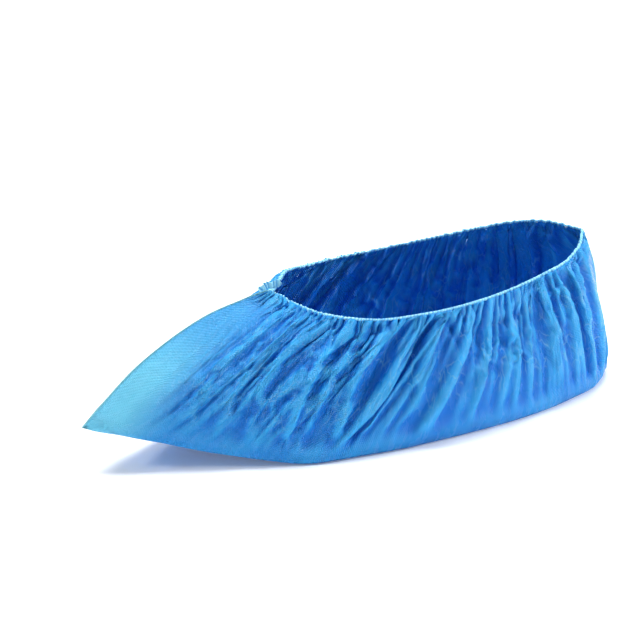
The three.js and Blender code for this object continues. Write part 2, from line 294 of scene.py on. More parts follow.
# The same sheet laid flat. Its rows are longer by the share that the gathers draw together, which
# is given down the wall from the hem (0) to the sole (1), and for the toe half and the heel half.
# Its columns have only a little slack.
SPARE_AT = (0, 0.1, 0.25, 0.5, 0.75, 1)
SPARE_TOE = (0.65, 0.55, 0.46, 0.34, 0.2, 0.02)
SPARE_HEEL = (0.65, 0.48, 0.26, 0.1, 0.04, 0.02)
SLACK = 1.015
HEEL_HALF = (8, 11)

rearward = fade(place, *HEEL_HALF)[:, None]
spare_toe, spare_heel = (np.interp(drop, SPARE_AT, shares) for shares in (SPARE_TOE, SPARE_HEEL))
spare = spare_toe * (1 - rearward) + spare_heel * rearward
flat_x = running(lengths(smooth, 0) * (1 + spare[1:]), 0, COLUMNS // 2)
slip = np.diff(flat_x, axis=1)
flat_y = running(np.sqrt(np.maximum((SLACK * lengths(smooth, 1)) ** 2 - slip**2, 0)), 1, KEEL_ROW)
flat = np.stack([flat_x, flat_y, np.zeros_like(flat_x)], axis=2)


def drift(chance, count, knots):
    """A slow wander between -1 and 1 along the film."""
    return np.interp(np.linspace(0, knots - 1, count), range(knots), chance.uniform(-1, 1, knots))


def blurred(values, axis, width):
    """Values averaged along one axis of a grid with a bell of that many steps."""
    reach = np.arange(-3 * width, 3 * width + 1)
    bell = np.exp(-0.5 * (reach / width) ** 2)
    pad = [(0, 0), (0, 0)]
    pad[axis] = (3 * width, 3 * width)
    padded = np.pad(values, pad, mode="edge")
    bell /= bell.sum()
    return np.apply_along_axis(lambda line: np.convolve(line, bell, "valid"), axis, padded)


# The folds that the gathers start from, on each side: fine pleats at the hem, tucks of two pleats
# under them, the main folds of the section table, soft creases between those, and crinkles in the
# film, mostly beside the toe. A START or END is the stretch down the wall over which a kind begins or
# dies away, and TOE_CRINKLES are two such stretches along the film. A DRIFT is how far its places
# wander and how many times, and a BLUR how many steps wide its bumps are along and down the film.
PLEAT_PITCH, PLEAT_DEPTH, PLEATS_END = 3.6 * MM, 1.1 * MM, (0.06, 0.24)
TUCK_DEPTH, TUCK_AT_HEM, TUCKS_START = 1.4 * MM, 0.25, (0, 0.15)
TUCKS_END, HEEL_TUCKS_END = (0.25, 0.6), (0.15, 0.4)
FOLD_SHARE, HEEL_FOLD_SHARE, FOLDS_START, HEEL_REACH = 1.1, 0.5, (0, 0.3), 0.7
CREASE_DEPTH, CREASE_BLUR, CREASES_START, CREASES_END = 1.5 * MM, (5, 10), (0.05, 0.3), (0.5, 0.85)
CRINKLE_DEPTH, CRINKLE_BLUR, CRINKLES_END = 0.35 * MM, (2, 2), (0.7, 0.9)
CRINKLES_START, CRINKLED_ELSEWHERE = (0.1, 0.3), 0.3
TOE_CRINKLES_START, TOE_CRINKLES = (0.2, 0.4), ((1, 2), (4, 7))
INNER_SHIFT = 0.5
RUN_DRIFT, FOLD_DRIFT = (0.8, 60), (0.12, 18)
WELD_CALM = (0, 0.02)
INNER_SEED, OUTER_SEED = 11, 3


def random_relief(chance, shape, widths):
    """A grid of random bumps, as wide in steps along and down the film as widths."""
    return blurred(blurred(chance.normal(0, 1, shape), 0, widths[0]), 1, widths[1])


def mixed(share, front, rear):
    """A value that goes from its front to its rear one as share goes from 0 to 1."""
    return front + (rear - front) * share


lift = np.zeros(smooth.shape[:2])
phases = []
for side, seed, rows in (
    (-1, INNER_SEED, slice(0, KEEL_ROW)),
    (1, OUTER_SEED, slice(KEEL_ROW, ROWS + 1)),
):
    chance = np.random.default_rng(seed)
    mouth = smooth[:, 0] if side < 0 else smooth[:, ROWS]
    run = np.concatenate([[0], np.cumsum(np.linalg.norm(np.diff(mouth, axis=0), axis=1))]) / PLEAT_PITCH
    run = run + RUN_DRIFT[0] * drift(chance, COLUMNS + 1, RUN_DRIFT[1])
    fold = place + (INNER_SHIFT if side < 0 else 0)
    fold = fold + FOLD_DRIFT[0] * drift(chance, COLUMNS + 1, FOLD_DRIFT[1])
    phases.append((run, fold))
    down = drop[:, rows]
    pleats = np.cos(2 * np.pi * run)[:, None] * (1 - fade(down, *PLEATS_END)) * PLEAT_DEPTH
    tucks = TUCK_AT_HEM + (1 - TUCK_AT_HEM) * fade(down, *TUCKS_START)
    tucks = np.cos(np.pi * run)[:, None] * tucks * TUCK_DEPTH
    tucks *= 1 - fade(down, *(mixed(rearward, *ends) for ends in zip(TUCKS_END, HEEL_TUCKS_END)))
    height = table_value(place, HEIGHT) * MM * mixed(rearward, FOLD_SHARE, HEEL_FOLD_SHARE)
    reach = table_value(place, REACH) * mixed(rearward, 1, HEEL_REACH)
    reach = np.maximum(reach, FOLDS_START[1] + 0.01)
    folds = np.cos(2 * np.pi * fold)[:, None] * height * fade(down, *FOLDS_START)
    folds *= 1 - fade(down, FOLDS_START[1], reach)
    creases = random_relief(chance, (COLUMNS + 1, down.shape[1]), CREASE_BLUR)
    creases *= CREASE_DEPTH / creases.std() * fade(down, *CREASES_START) * (1 - fade(down, *CREASES_END))
    crinkles = random_relief(chance, (COLUMNS + 1, down.shape[1]), CRINKLE_BLUR)
    beside_toe = fade(place, *TOE_CRINKLES[0]) * (1 - fade(place, *TOE_CRINKLES[1]))
    crinkled = CRINKLED_ELSEWHERE * fade(down, *CRINKLES_START)
    crinkled = crinkled + fade(down, *TOE_CRINKLES_START) * beside_toe[:, None]
    crinkles *= CRINKLE_DEPTH / crinkles.std() * crinkled * (1 - fade(down, *CRINKLES_END))
    lift[:, rows] = pleats + tucks + folds + creases + crinkles
lift *= fade(np.minimum(along, 1 - along), *WELD_CALM)[:, None]
gathered = smooth + outwards * lift[:, :, None]


def sheet_through(name, points, pattern=None, **attributes):
    """A sheet of four-sided faces through a grid of points, and the column and row of each point.

    The pattern gives each point its place on the flat material, in metres, as the UV map, and each
    attribute is a grid of numbers that the material reads by its name."""
    columns, rows = points.shape[0] - 1, points.shape[1] - 1
    shape = bmesh.new()
    uv = shape.loops.layers.uv.new("pattern")
    bmesh.ops.create_grid(shape, x_segments=columns, y_segments=rows, size=1)
    found = [(round((v.co.x + 1) / 2 * columns), round((v.co.y + 1) / 2 * rows)) for v in shape.verts]
    shape.verts.index_update()
    for vert, spot in zip(shape.verts, found):
        vert.co = points[spot]
    if pattern is not None:
        for face in shape.faces:
            for corner in face.loops:
                corner[uv].uv = pattern[found[corner.vert.index]][:2]
    for face in shape.faces:
        face.smooth = True
    mesh = bpy.data.meshes.new(name)
    shape.to_mesh(mesh)
    shape.free()
    spots = np.array(found).T
    for attribute, values in attributes.items():
        held = mesh.attributes.new(attribute, "FLOAT", "POINT")
        held.data.foreach_set("value", values[spots[0], spots[1]].astype(np.float32))
    return link_object(name, mesh), spots


def merge_borders(piece, reach):
    """Closes a sheet where its borders meet, within reach."""
    shape = bmesh.new()
    shape.from_mesh(piece.data)
    border = [vert for vert in shape.verts if vert.is_boundary]
    bmesh.ops.remove_doubles(shape, verts=border, dist=reach)
    shape.to_mesh(piece.data)
    shape.free()


cloth, (column_of, row_of) = sheet_through("gathered_film", gathered)

# The gathered sheet settles as cloth that wants its flat lengths back, with the hem held by its
# elastic, the ends by the welds and the sole by the foot. It shears and bends easily, since a pleated
# film does. The shoe inside keeps the film from being drawn in, so its folds ride on the smooth
# outline: what draws in over more steps than SHOE_REACH, along and down the film, is pushed out.
SETTLE_FRAMES = 12
SHOE_REACH = (14, 8)


def settle(cloth, rest):
    """Runs the cloth from its folded start, and gives its points as a grid by column and row."""
    cloth.shape_key_add(name="start")
    key = cloth.shape_key_add(name="flat")
    key.value = 0
    key.data.foreach_set("co", rest[column_of, row_of].astype(np.float32).ravel())
    held = (row_of == 0) | (row_of == ROWS) | (column_of == 0) | (column_of == COLUMNS)
    held |= np.abs(row_of - KEEL_ROW) <= SOLE_ROWS
    group = cloth.vertex_groups.new(name="held")
    group.add(np.flatnonzero(held).tolist(), 1.0, "REPLACE")
    # A rest key is only read behind a modifier that makes a mesh, so one copy of the sheet is made.
    cloth.modifiers.new("one_copy", "ARRAY").count = 1
    simulation = cloth.modifiers.new("settle", "CLOTH")
    values = simulation.settings
    values.rest_shape_key = key
    values.vertex_group_mass = group.name
    values.quality = 3
    values.mass = 0.0003
    values.tension_stiffness = values.compression_stiffness = 15
    values.shear_stiffness = 0.5
    values.bending_stiffness = 0.05
    values.effector_weights.gravity = 0
    simulation.collision_settings.use_collision = False
    simulation.point_cache.frame_end = SETTLE_FRAMES
    for frame_number in range(1, SETTLE_FRAMES + 1):
        bpy.context.scene.frame_set(frame_number)
    result = cloth.evaluated_get(bpy.context.evaluated_depsgraph_get()).data
    found = np.empty(len(result.vertices) * 3)
    result.vertices.foreach_get("co", found)
    grid = np.empty_like(rest)
    grid[column_of, row_of] = found.reshape(-1, 3)
    bpy.data.objects.remove(cloth)
    return grid


settled = settle(cloth, flat)
drawn_in = ((settled - smooth) * outwards).sum(axis=2)
drawn_in = blurred(blurred(drawn_in, 0, SHOE_REACH[0]), 1, SHOE_REACH[1])
settled -= outwards * drawn_in[:, :, None]
settled[:, :, 2] = np.maximum(settled[:, :, 2], FLOOR_HEIGHT)


def resampled(grid, axis, where):
    """A grid at other places along one of its axes, by cubic interpolation."""
    last = grid.shape[axis] - 1
    i = np.minimum(np.floor(where).astype(int), last - 1)
    t = (where - i).reshape([-1 if k == axis else 1 for k in range(grid.ndim)])
    a, b, c, d = (np.take(grid, np.clip(i + k, 0, last), axis=axis) for k in (-1, 0, 1, 2))
    return b + 0.5 * t * (c - a + t * (2 * a - 5 * b + 4 * c - d + t * (3 * (b - c) + d - a)))


# The settled sheet is laid over a grid with closer columns, for the sharp detail that the cloth is
# too coarse for.
FINE_COLUMNS, FINE_ROWS = 470, 104
FINE_KEEL = FINE_ROWS // 2
column_at, row_at = np.linspace(0, COLUMNS, FINE_COLUMNS + 1), np.linspace(0, ROWS, FINE_ROWS + 1)
smooth, settled, flat, outwards = (
    resampled(resampled(grid, 0, column_at), 1, row_at) for grid in (smooth, settled, flat, outwards)
)
outwards /= np.maximum(np.linalg.norm(outwards, axis=2, keepdims=True), 1e-12)
fine_drop = np.interp(row_at, range(ROWS + 1), drop[0])
fine_place = np.interp(column_at, range(COLUMNS + 1), place)
side_drop = fine_drop[None, FINE_KEEL:]
wall_length = lengths(smooth, 1)[:, :FINE_KEEL].sum(axis=1)
rearward = fade(fine_place, *HEEL_HALF)[:, None]

# Beside the toe the film has little to spare, so its folds are shallow there.
TOE_FOLDS, TOE_SHALLOW, HEM_PART = (2.5, 5), 0.6, (0.05, 0.25)
shallow = (1 - fade(fine_place, *TOE_FOLDS))[:, None] * fade(fine_drop, *HEM_PART)[None, :]
settled += (smooth - settled) * TOE_SHALLOW * shallow[:, :, None]

# The sharp detail: a rib for each pleat under the hem, a crest on each main fold, and the leaf-shaped
# creases of thin film, of four kinds. Ribs and crests are peaked waves less the mean of the wave, so
# they don't swell the film as a whole.
RIB_DEPTH, RIB_MEAN, RIB_SIZE, RIB_REACH, RIB_FADE = 1.3 * MM, 0.64, (0.5, 1.2), (0.09, 0.28), 0.3
CREST_HEIGHT, HEEL_CREST_HEIGHT, CREST_MEAN = 1.0, 0.35, 0.31
CREST_START, CREST_FADE, CREST_REACH = (0.1, 0.35), (-0.1, 0.02), (0.8, 0.16)
TOE_CREST, TOE_CRESTS = 0.5, (2, 5)
LEAF_CAP, LEAF_EDGE, LEAVES_OUT = 1.8 * MM, 0.3 * MM, 0.6
# How many on a side, where along it and down it, the lean in degrees, and the length, the half width
# and the height in millimetres, of each kind.
LEAVES = [
    (420, (0.02, 0.35), (0.25, 0.85), 26, (5, 14), (1, 2.6), (0.35, 0.95)),  # small, by the toe
    (200, (0.1, 0.6), (0.1, 0.75), 10, (10, 26), (1.6, 3.6), (0.2, 0.6)),  # long, over the front
    (230, (0.5, 0.92), (0.1, 0.62), 16, (10, 30), (2.4, 6), (0.4, 1.3)),  # broad, over the rear
    (300, (0.42, 0.94), (0.12, 0.68), 18, (6, 17), (1, 2.4), (0.2, 0.65)),  # small, among those
]
INNER_DETAIL_SEED, OUTER_DETAIL_SEED = 31, 41


def leaves(chance, middle_run, count, along_part, down_part, lean, long, wide, high):
    """Creases shaped like leaves, each with a sharp middle line, strewn over part of one side."""
    strewn = np.zeros((FINE_COLUMNS + 1, FINE_KEEL + 1))
    end = middle_run[-1]
    for _ in range(count):
        centre = chance.uniform(*(share * end for share in along_part))
        level = chance.uniform(*down_part)
        angle = math.radians(chance.normal(0, lean))
        length, width, height = (chance.uniform(*limits) * MM for limits in (long, wide, high))
        height *= 1 if chance.random() < LEAVES_OUT else -1
        first, last = np.searchsorted(middle_run, (centre - length, centre + length))
        across = (middle_run[first:last] - centre)[:, None]
        down = (side_drop - level) * wall_length[first:last, None]
        way = across * math.sin(angle) + down * math.cos(angle)
        off = across * math.cos(angle) - down * math.sin(angle)
        leaf = np.clip(1 - (2 * way / length) ** 2, 0, 1)
        strewn[first:last] += height * leaf * np.clip(1 - np.abs(off) / (width * leaf + LEAF_EDGE), 0, 1)
    return strewn


relief = np.zeros(smooth.shape[:2])
for (run, fold), seed, rows, middle in (
    (phases[0], INNER_DETAIL_SEED, slice(FINE_KEEL, None, -1), FINE_KEEL // 2),
    (phases[1], OUTER_DETAIL_SEED, slice(FINE_KEEL, FINE_ROWS + 1), FINE_KEEL + FINE_KEEL // 2),
):
    chance = np.random.default_rng(seed)
    run, fold = (np.interp(column_at, range(COLUMNS + 1), phase) for phase in (run, fold))
    rib = np.floor(run + 0.5).astype(int)
    rib_size = chance.uniform(*RIB_SIZE, rib.max() + 1)[rib][:, None]
    rib_reach = chance.uniform(*RIB_REACH, rib.max() + 1)[rib][:, None]
    ribs = (np.abs(np.cos(np.pi * run))[:, None] - RIB_MEAN) * rib_size * RIB_DEPTH
    ribs = ribs * (1 - fade(side_drop, RIB_FADE * rib_reach, rib_reach))
    reach = table_value(fine_place, REACH)
    reach = mixed(rearward, CREST_REACH[0] + CREST_REACH[1] * reach, HEEL_REACH * reach)
    crests = (0.5 + 0.5 * np.cos(2 * np.pi * fold))[:, None] ** 3 - CREST_MEAN
    crests *= table_value(fine_place, HEIGHT) * MM * mixed(rearward, CREST_HEIGHT, HEEL_CREST_HEIGHT)
    crests *= TOE_CREST + (1 - TOE_CREST) * fade(fine_place, *TOE_CRESTS)[:, None]
    crests = crests * fade(side_drop, *CREST_START)
    crests *= 1 - fade(side_drop, reach + CREST_FADE[0], reach + CREST_FADE[1])
    middle_line = smooth[:, middle]
    middle_run = np.concatenate([[0], np.cumsum(np.linalg.norm(np.diff(middle_line, axis=0), axis=1))])
    strewn = sum(leaves(chance, middle_run, *kind) for kind in LEAVES)
    relief[:, rows] = ribs + crests + LEAF_CAP * np.tanh(strewn / LEAF_CAP)

# The film lies flat beside both welds, and the last of the wall is stretched smooth over the edge of
# the sole. Each pair is where this starts and ends, along or down the film.
TOE_PANEL, HEEL_PANEL, PANEL_TOP = (0.5, 1.9), (15.6, 16.6), (0.03, 0.2)
PANEL_FLAT, BOTTOM_FLAT, BOTTOM = 0.75, 0.85, (0.92, 1)
panels = fade(fine_place, *TOE_PANEL) * (1 - fade(fine_place, *HEEL_PANEL))
flatter = 1 - (1 - panels[:, None]) * fade(np.minimum(fine_drop, 1), *PANEL_TOP)[None, :]
from_weld = np.minimum(column_at, COLUMNS - column_at) / COLUMNS
relief *= flatter * fade(from_weld, *WELD_CALM)[:, None]
settled += (smooth - settled) * PANEL_FLAT * (1 - flatter)[:, :, None]
settled += outwards * relief[:, :, None]
settled += (smooth - settled) * BOTTOM_FLAT * fade(fine_drop, *BOTTOM)[None, :, None]
settled[:, :, 2] = np.maximum(settled[:, :, 2], FLOOR_HEIGHT)

# What the material reads: how far a place stands out of the folds round it, which drives painted shade in the
# hollows and a painted highlight on the crests, how tautly the toe is drawn, which drives a painted highlight
# on the toe panel, and how crumpled the film is between the hem and the sole, which shapes its bumps and its
# painted crease highlights.
CREASE_REACH, CREST_SPAN = (5, 5), 1.7 * MM
TAUT_TOE, TAUT_DOWN, TAUT_AT_HEM = (0.5, 1.8), (0.3, 0.8), 0.3
CRUMPLED_START, CRUMPLED_END = (0.05, 0.3), (0.7, 0.95)
CRUMPLED_AT_WELDS, CRUMPLED_TOE, CRUMPLED_HEEL = 0.35, (0.8, 2), (15.5, 17)
depth = ((settled - smooth) * outwards).sum(axis=2)
depth -= blurred(blurred(depth, 0, CREASE_REACH[0]), 1, CREASE_REACH[1])
# Painted highlight on the toe panel: the taut film beside the toe weld is painted paler, less so at the hem.
taut = TAUT_AT_HEM + (1 - TAUT_AT_HEM) * fade(fine_drop, *TAUT_DOWN)
taut = (1 - fade(fine_place, *TAUT_TOE))[:, None] * taut[None, :]
crumpled = fade(fine_drop, *CRUMPLED_START) * (1 - fade(fine_drop, *CRUMPLED_END))
inland = fade(fine_place, *CRUMPLED_TOE) * (1 - fade(fine_place, *CRUMPLED_HEEL))
crumpled = crumpled * (CRUMPLED_AT_WELDS + (1 - CRUMPLED_AT_WELDS) * inland)[:, None]
film, _ = sheet_through(
    "film_cover", settled, flat, crest=np.clip(0.5 + depth / CREST_SPAN, 0, 1), taut=taut, crumpled=crumpled
)
merge_borders(film, 0.01 * MM)
film.modifiers.new("thickness", "SOLIDIFY").thickness = FILM_THICKNESS

# Cast polyethylene film with a blue pigment, embossed between rollers with a fine diamond grid, which gives
# it a satin look. Its colour carries painted shade and light: it is painted deeper blue in the folds, as
# shade, and paler on their crests, on the taut toe panel and in lines along its sharp creases, as highlights.
# The real grid of 0.6 mm is too fine to show, and is drawn at 1.3 mm.
EMBOSS_PITCH, EMBOSS_DEPTH = 1.3 * MM, 0.2 * MM
CRUMPLE_WIDE, CRUMPLE_LONG, CRUMPLE_DEPTH = 6 * MM, 15 * MM, 2.2 * MM
CRUMPLE_BEND, FINE_CRUMPLE, FINE_SHARE = 1.6, 2.3, 0.4
CREASE_LINES, LINE_WIDTH, LINE_SHARE, LINE_BREAKS = 1.5, 0.06, 0.4, (0.45, 0.6)
BEND_WAVES, BREAK_WAVES, WORN_WAVES = 0.7, 0.9, 1.4  # to each facet of the crumpled film
# Colours for painted shade and light: the deep blue of the shaded folds, and the paler blues of the
# highlights on crests, toe panel and crease lines.
FOLD_SHADE_BLUE, CREST_HIGHLIGHT_BLUE, TAUT_HIGHLIGHT_BLUE, LINE_HIGHLIGHT_BLUE = "1080E6", "3AB6FC", "72DAFE", "8FDCFC"
TRANSLUCENCY = 0.15
film_material = bpy.data.materials.new("cast_polyethylene_film")
film_material.use_nodes = True
film_shader = film_material.node_tree.nodes["Principled BSDF"]
film_shader.inputs["Specular IOR Level"].default_value = 0.38
multiply, multiply_add = {"operation": "MULTIPLY"}, {"operation": "MULTIPLY_ADD"}
colours = {"data_type": "RGBA"}

# The embossed grid.
on_sheet = node(film_material, "UVMap", {"uv_map": "pattern"}).outputs["UV"]
apart = node(film_material, "SeparateXYZ", Vector=on_sheet)
waves = []
for axis in ("X", "Y"):
    turns = node(film_material, "Math", multiply, i0=apart.outputs[axis], i1=2 * math.pi / EMBOSS_PITCH)
    waves.append(node(film_material, "Math", {"operation": "SINE"}, i0=turns.outputs[0]).outputs[0])
emboss = node(film_material, "Math", multiply, i0=waves[0], i1=waves[1]).outputs[0]

# The facets of crumpled film, longer down the wall than along it, with smaller ones on them.
facet_scale = (1 / CRUMPLE_WIDE, 1 / CRUMPLE_LONG, 1)
in_facets = node(film_material, "Mapping", Vector=on_sheet, Scale=facet_scale).outputs["Vector"]
wander = node(film_material, "TexNoise", Vector=in_facets, Scale=BEND_WAVES, Detail=3.0).outputs["Color"]
bend = (CRUMPLE_BEND, CRUMPLE_BEND, 0)
bent = node(film_material, "VectorMath", multiply_add, i0=wander, i1=bend, i2=in_facets).outputs["Vector"]
large = node(film_material, "TexVoronoi", Vector=bent, Scale=1.0).outputs["Distance"]
small = node(film_material, "TexVoronoi", Vector=bent, Scale=FINE_CRUMPLE).outputs["Distance"]
facets = node(film_material, "Math", multiply_add, i0=small, i1=FINE_SHARE, i2=large).outputs[0]
crumpled = node(film_material, "Attribute", {"attribute_name": "crumpled"}).outputs["Fac"]
height = node(film_material, "Math", multiply, i0=facets, i1=crumpled).outputs[0]
bump = node(film_material, "Bump", Distance=CRUMPLE_DEPTH, Height=height).outputs["Normal"]
bump = node(film_material, "Bump", Distance=EMBOSS_DEPTH, Height=emboss, Normal=bump).outputs["Normal"]
film_material.node_tree.links.new(bump, film_shader.inputs["Normal"])

# Painted highlights: pale lines along the sharp creases, broken off here and there.
to_edge = {"feature": "DISTANCE_TO_EDGE"}
edges = node(film_material, "TexVoronoi", to_edge, Vector=bent, Scale=CREASE_LINES).outputs["Distance"]
lines = node(film_material, "MapRange", Value=edges, From_Max=LINE_WIDTH, To_Min=1.0, To_Max=0.0)
breaks = node(film_material, "TexNoise", Vector=in_facets, Scale=BREAK_WAVES, Detail=1.0).outputs["Fac"]
unbroken = node(
    film_material,
    "MapRange",
    Value=breaks,
    From_Min=LINE_BREAKS[0],
    From_Max=LINE_BREAKS[1],
    To_Max=LINE_SHARE,
).outputs["Result"]
lines = node(film_material, "Math", multiply, i0=lines.outputs["Result"], i1=unbroken).outputs[0]
lines = node(film_material, "Math", multiply, i0=lines, i1=crumpled).outputs[0]

lit_crest = node(film_material, "Attribute", {"attribute_name": "crest"}).outputs["Fac"]
toe_highlight = node(film_material, "Attribute", {"attribute_name": "taut"}).outputs["Fac"]
# Painted shade and light: the base blue is the painted shade of the hollows, and the crests, the taut toe
# panel and the crease lines are mixed paler as painted highlights.
colour = linear(FOLD_SHADE_BLUE)
for amount, paler in ((lit_crest, CREST_HIGHLIGHT_BLUE), (toe_highlight, TAUT_HIGHLIGHT_BLUE), (lines, LINE_HIGHLIGHT_BLUE)):
    colour = node(film_material, "Mix", colours, i0=amount, i6=colour, i7=linear(paler)).outputs[2]
film_material.node_tree.links.new(colour, film_shader.inputs["Base Color"])
worn = node(film_material, "TexNoise", Vector=in_facets, Scale=WORN_WAVES, Detail=2.0).outputs["Fac"]
rough = node(film_material, "MapRange", Value=worn, To_Min=0.2, To_Max=0.34).outputs["Result"]
film_material.node_tree.links.new(rough, film_shader.inputs["Roughness"])
see_through = node(film_material, "BsdfTranslucent", Color=colour, Normal=bump).outputs[0]
both = node(film_material, "MixShader", Fac=TRANSLUCENCY, i1=film_shader.outputs[0], i2=see_through)
film_output = film_material.node_tree.nodes["Material Output"]
film_material.node_tree.links.new(both.outputs[0], film_output.inputs["Surface"])
film.data.materials.append(film_material)
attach(film, "root")
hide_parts("film_body")


# ---------- the hem ----------
# The edge of the film is folded over a stretched elastic thread and fused to it. The thread draws
# the edge together, so the hem is a thin pale cord, beaded by the pleats that are pressed into it.
HEM_HALF_WIDTH, HEM_HALF_HEIGHT = 0.6 * MM, 0.8 * MM
HEM_RISE = 0.5 * MM
HEM_STEP, HEM_SIDES = 0.4 * MM, 10
HEM_FOLLOWS = 0.35  # the share of the pleats' sideways waves that the hem follows
BEAD_PITCH, BEAD_DRIFT = 1.9 * MM, (3, 90)
BEAD_SWELL, SWELL_DRIFT = 0.16, (0.08, 300)
BEAD_LOW, BEAD_SPAN = 0.84, 0.3  # the swell of a bead's foot, and how much more its top has
HEM_SEED = 5


def even_run(points, step):
    """Points at even steps along a line of points, and the distance to each."""
    length = np.concatenate([[0], np.cumsum(np.linalg.norm(np.diff(points, axis=0), axis=1))])
    even = np.linspace(0, length[-1], max(2, round(length[-1] / step)) + 1)
    return np.stack([np.interp(even, length, values) for values in points.T], axis=1), even


def cord_through(name, centres, wide, tall, swell, **attributes):
    """A closed ring of oval section along a line of centres, with swell as its size at each."""
    turns = np.linspace(0, 2 * np.pi, HEM_SIDES + 1)
    rings = (
        centres[:, None]
        + wide[:, None] * (np.cos(turns)[None, :, None] * HEM_HALF_WIDTH * swell[:, None, None])
        + tall[:, None] * (np.sin(turns)[None, :, None] * HEM_HALF_HEIGHT * swell[:, None, None])
    )
    run = np.concatenate([[0], np.cumsum(np.linalg.norm(np.diff(centres, axis=0), axis=1))])
    pattern = np.stack(np.broadcast_arrays(run[:, None], turns[None, :] * HEM_HALF_HEIGHT), axis=2)
    spread = {key: np.repeat(values[:, None], HEM_SIDES + 1, axis=1) for key, values in attributes.items()}
    cord, _ = sheet_through(name, rings, pattern, **spread)
    merge_borders(cord, 0.02 * MM)
    shape = bmesh.new()
    shape.from_mesh(cord.data)
    bmesh.ops.recalc_face_normals(shape, faces=shape.faces)
    shape.to_mesh(cord.data)
    shape.free()
    return cord


hem_lines = []
for row, below in ((FINE_ROWS, FINE_ROWS - 2), (0, 2)):
    line = smooth[:, row] + HEM_FOLLOWS * (settled[:, row] - smooth[:, row])
    rise = smooth[:, row] - smooth[:, below]
    rise /= np.linalg.norm(rise, axis=1, keepdims=True)
    hem_lines.append(np.concatenate([line + rise * HEM_RISE, rise, outwards[:, row]], axis=1))
around = np.concatenate([hem_lines[0], hem_lines[1][-2::-1]])
centres, run = even_run(around[:, :3], HEM_STEP)
length = np.concatenate([[0], np.cumsum(np.linalg.norm(np.diff(around[:, :3], axis=0), axis=1))])
tall, wide = (
    np.stack([np.interp(run, length, around[:, k]) for k in axes], axis=1) for axes in ((3, 4, 5), (6, 7, 8))
)
chance = np.random.default_rng(HEM_SEED)
beads = 2 * np.pi * run / BEAD_PITCH + BEAD_DRIFT[0] * drift(chance, len(run), BEAD_DRIFT[1])
swell = 1 + BEAD_SWELL * np.cos(beads) + SWELL_DRIFT[0] * drift(chance, len(run), SWELL_DRIFT[1])
for values in (centres, tall, wide, swell):
    values[-1] = values[0]
# The beads' tops are painted paler and the dips between them deeper blue, as painted highlight and shade.
hem = cord_through("fused_hem", centres, wide, tall, swell, crest=(swell - BEAD_LOW) / BEAD_SPAN)

# Polyethylene film that was melted onto the thread and stretched, pebbled by the melting, with grains of
# about a millimetre. Its colour carries painted light: paler where the beads stand up, as a painted
# highlight, and deeper blue between them, as painted shade.
GRAIN, GRAIN_DEPTH, GRAIN_SHARE = 1 * MM, 0.15 * MM, 0.8
LOW_SHADE_BLUE, BEAD_HIGHLIGHT_BLUE = "58B6EA", "A0E2F6"
hem_material = bpy.data.materials.new("fused_film_on_elastic")
hem_material.use_nodes = True
hem_shader = hem_material.node_tree.nodes["Principled BSDF"]
whole = node(hem_material, "TexCoord").outputs["Object"]
grains = node(hem_material, "TexNoise", Vector=whole, Scale=1 / GRAIN, Detail=2.0).outputs["Fac"]
lit_crest = node(hem_material, "Attribute", {"attribute_name": "crest"}).outputs["Fac"]
paler = node(hem_material, "Math", multiply_add, i0=grains, i1=GRAIN_SHARE, i2=-GRAIN_SHARE / 2).outputs[0]
clamped_add = {"operation": "ADD", "use_clamp": True}
paler = node(hem_material, "Math", clamped_add, i0=lit_crest, i1=paler).outputs[0]
colour = node(hem_material, "Mix", colours, i0=paler, i6=linear(LOW_SHADE_BLUE), i7=linear(BEAD_HIGHLIGHT_BLUE)).outputs[2]
bump = node(hem_material, "Bump", Distance=GRAIN_DEPTH, Height=grains).outputs["Normal"]
hem_material.node_tree.links.new(colour, hem_shader.inputs["Base Color"])
hem_material.node_tree.links.new(bump, hem_shader.inputs["Normal"])
hem_shader.inputs["Roughness"].default_value = 0.4
hem.data.materials.append(hem_material)
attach(hem, "root")
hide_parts("hem_bead")


# ---------- the welds ----------
# The two sides are melted together up the toe and up the heel, which leaves a narrow stiff fin of
# clear, slightly greenish plastic outside each weld.
FIN_TALL, FIN_THICK, FIN_ROOT = 0.7 * MM, 0.2 * MM, 0.1 * MM
FIN_STEP = 1 * MM

# Polyethylene that was melted by a hot bar and cut: clearer and greener than the film, and rippled
# along the weld, with a ripple of about 1.5 mm.
WELD_RIPPLE, RIPPLE_DEPTH = 1.5 * MM, 0.1 * MM
WELD_TEAL, WELD_PALE = "4CA9C8", "9AD8DC"
weld_material = bpy.data.materials.new("heat_sealed_edge")
weld_material.use_nodes = True
weld_shader = weld_material.node_tree.nodes["Principled BSDF"]
whole = node(weld_material, "TexCoord").outputs["Object"]
ripple = node(weld_material, "TexNoise", Vector=whole, Scale=1 / WELD_RIPPLE).outputs["Fac"]
colour = node(weld_material, "Mix", colours, i0=ripple, i6=linear(WELD_TEAL), i7=linear(WELD_PALE)).outputs[2]
bump = node(weld_material, "Bump", Distance=RIPPLE_DEPTH, Height=ripple).outputs["Normal"]
weld_material.node_tree.links.new(colour, weld_shader.inputs["Base Color"])
weld_material.node_tree.links.new(bump, weld_shader.inputs["Normal"])
weld_shader.inputs["Roughness"].default_value = 0.35


